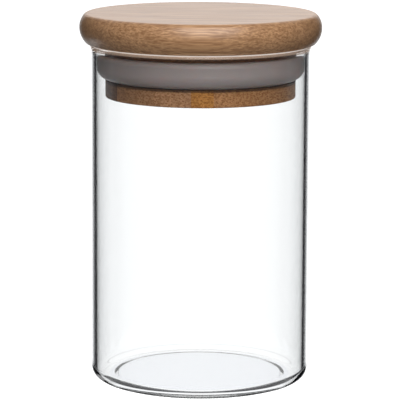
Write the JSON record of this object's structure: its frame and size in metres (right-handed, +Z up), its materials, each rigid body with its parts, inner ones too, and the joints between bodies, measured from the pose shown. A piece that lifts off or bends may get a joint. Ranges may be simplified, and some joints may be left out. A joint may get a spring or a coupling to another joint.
{
  "type": "lidded glass canister",
  "caption": "Straight clear glass storage jar with a round bamboo lid, whose plug carries a wide silicone seal that grips the inside of the mouth.",
  "frame": {"origin": "middle of the footprint, on the surface the jar stands on", "axes": "+Z up along the jar's axis, the way the lid lifts; +X along the grain of the bamboo cap"},
  "size_m": [0.0718, 0.0718, 0.1099],
  "materials": {
    "clear_glass": "clear, fire-polished",
    "bamboo_cap": "sanded bamboo, satin oil",
    "bamboo_plug": "sanded bamboo, satin oil",
    "silicone": "milky translucent, matte"
  },
  "bodies": {
    "jar": {"glass_jar": "clear_glass"},
    "lid": {"lid_cap": "bamboo_cap", "lid_plug": "bamboo_plug", "gasket": "silicone"}
  },
  "joints": [
    {"name": "lid_lift", "type": "slide", "parent": "jar", "child": "lid", "axis": [0, 0, 1], "range_m": [0, 0.05]}
  ]
}
